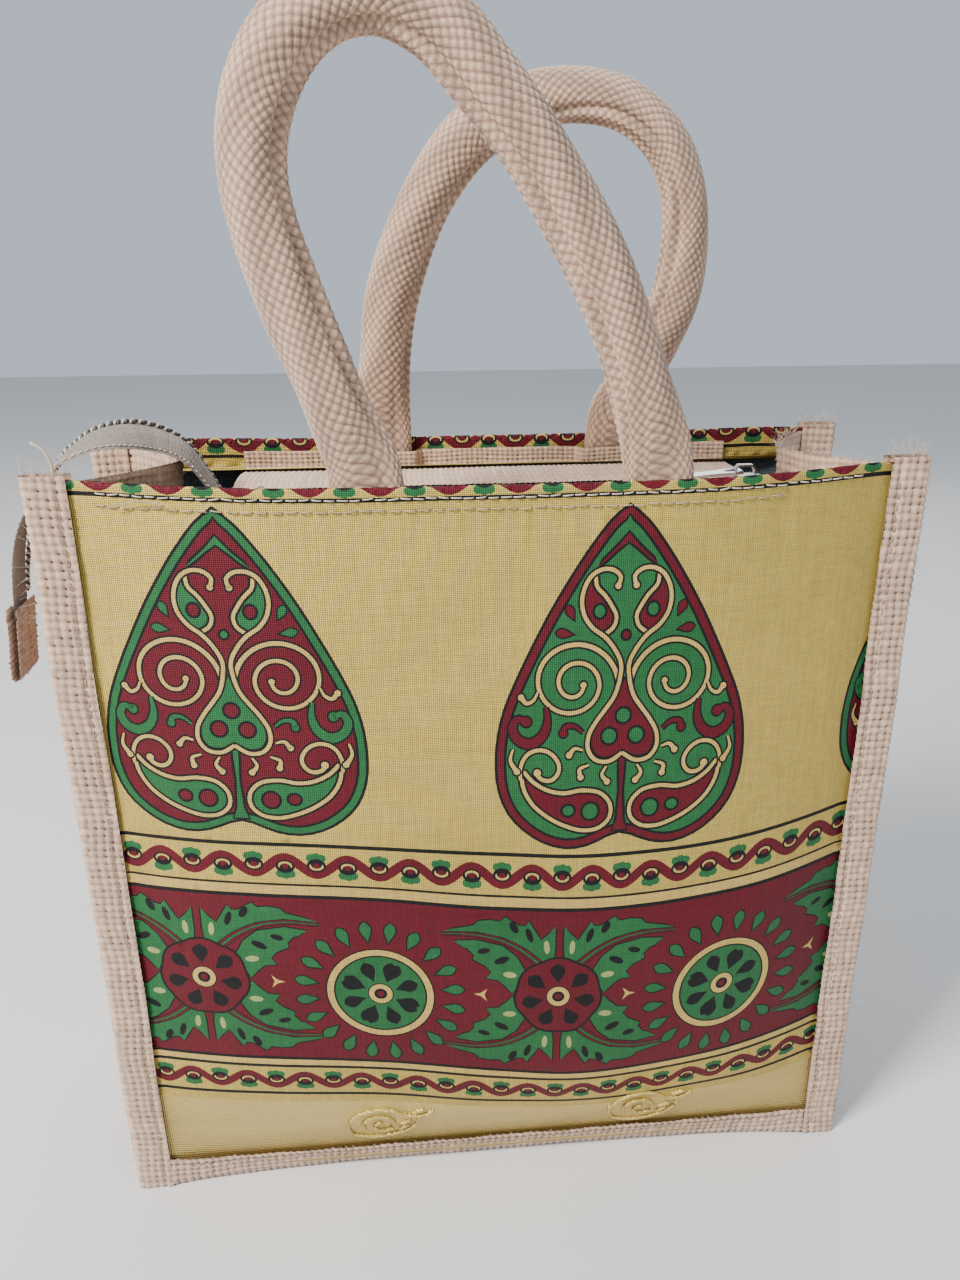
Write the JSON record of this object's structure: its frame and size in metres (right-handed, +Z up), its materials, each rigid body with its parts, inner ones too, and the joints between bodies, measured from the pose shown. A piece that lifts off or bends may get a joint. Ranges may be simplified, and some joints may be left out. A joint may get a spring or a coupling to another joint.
{
  "type": "gift bag",
  "caption": "Small zipped gift bag of jute and printed brocade, with folding side gussets, bound seams, padded carrying handles and an overhanging zip end.",
  "frame": {"origin": "centre of the flat underside of the base, on the ground", "axes": "+Z up, -Y out of the front panel, +X to the right as seen from the front"},
  "size_m": [0.2855, 0.1098, 0.3914],
  "materials": {
    "brocade": "woven, printed, slight metallic sheen",
    "lining": "plain weave, matte",
    "jute": "coarse plain weave, matte",
    "webbing": "woven strap, matte",
    "filler": "soft cord, matte",
    "tape": "fine herringbone, matte",
    "coil": "moulded nylon",
    "metal": "polished"
  },
  "bodies": {
    "bag": {"front_panel": "brocade", "front_lining": "lining", "front_left_binding": "jute", "front_right_binding": "jute", "front_bottom_binding": "jute", "front_handle_tab_left": "webbing", "front_handle_tab_right": "webbing", "front_flap_band": "jute", "back_panel": "brocade", "back_lining": "lining", "back_left_binding": "jute", "back_right_binding": "jute", "back_bottom_binding": "jute", "back_handle_tab_left": "webbing", "back_handle_tab_right": "webbing", "back_flap_band": "jute", "left_gusset": "jute", "right_gusset": "jute", "base_panel": "jute", "zip_bottom_front": "tape", "zip_head_front": "tape", "zip_top_stop_front": "metal", "zip_bottom_back": "tape", "zip_head_back": "tape", "zip_top_stop_back": "metal", "zip_bottom_stop": "metal", "zip_tail_tape": "tape", "zip_tail_coil": "coil"},
    "front_handle": {"front_handle_webbing": "webbing", "front_handle_filler": "filler"},
    "back_handle": {"back_handle_webbing": "webbing", "back_handle_filler": "filler"},
    "front_flap": {"front_flap": "jute", "front_zip_tape": "tape", "front_zip_coil": "coil"},
    "back_flap": {"back_flap": "jute", "back_zip_tape": "tape", "back_zip_coil": "coil"},
    "slider": {"zip_slider": "metal", "zip_slider_bridge": "metal"},
    "pull": {"zip_pull": "metal"},
    "zip_drop": {"zip_drop_tape": "tape", "zip_drop_coil": "coil", "zip_end_tab": "jute"}
  },
  "joints": [
    {"name": "front_handle_swing", "type": "hinge", "parent": "bag", "child": "front_handle", "pos_m": [0.0055, -0.04693, 0.26327], "axis": [1, 0, 0], "range_deg": [-10, 150]},
    {"name": "back_handle_swing", "type": "hinge", "parent": "bag", "child": "back_handle", "pos_m": [0.0099, 0.04693, 0.26327], "axis": [-1, 0, 0], "range_deg": [-10, 150]},
    {"name": "front_flap_open", "type": "hinge", "parent": "bag", "child": "front_flap", "pos_m": [0, -0.037, 0.2525], "axis": [-1, 0, 0], "range_deg": [0, 78]},
    {"name": "back_flap_open", "type": "hinge", "parent": "bag", "child": "back_flap", "pos_m": [0, 0.037, 0.2525], "axis": [1, 0, 0], "range_deg": [0, 78]},
    {"name": "zip_slide", "type": "slide", "parent": "bag", "child": "slider", "axis": [-1, 0, 0], "range_m": [0, 0.1555]},
    {"name": "zip_pull_swing", "type": "hinge", "parent": "slider", "child": "pull", "pos_m": [0.0875, 0, 0.2565], "axis": [0, 1, 0], "range_deg": [0, 95]},
    {"name": "zip_drop_swing", "type": "hinge", "parent": "bag", "child": "zip_drop", "pos_m": [-0.1283, -0.0234, 0.2674], "axis": [0, 1, 0], "range_deg": [0, 100]}
  ]
}
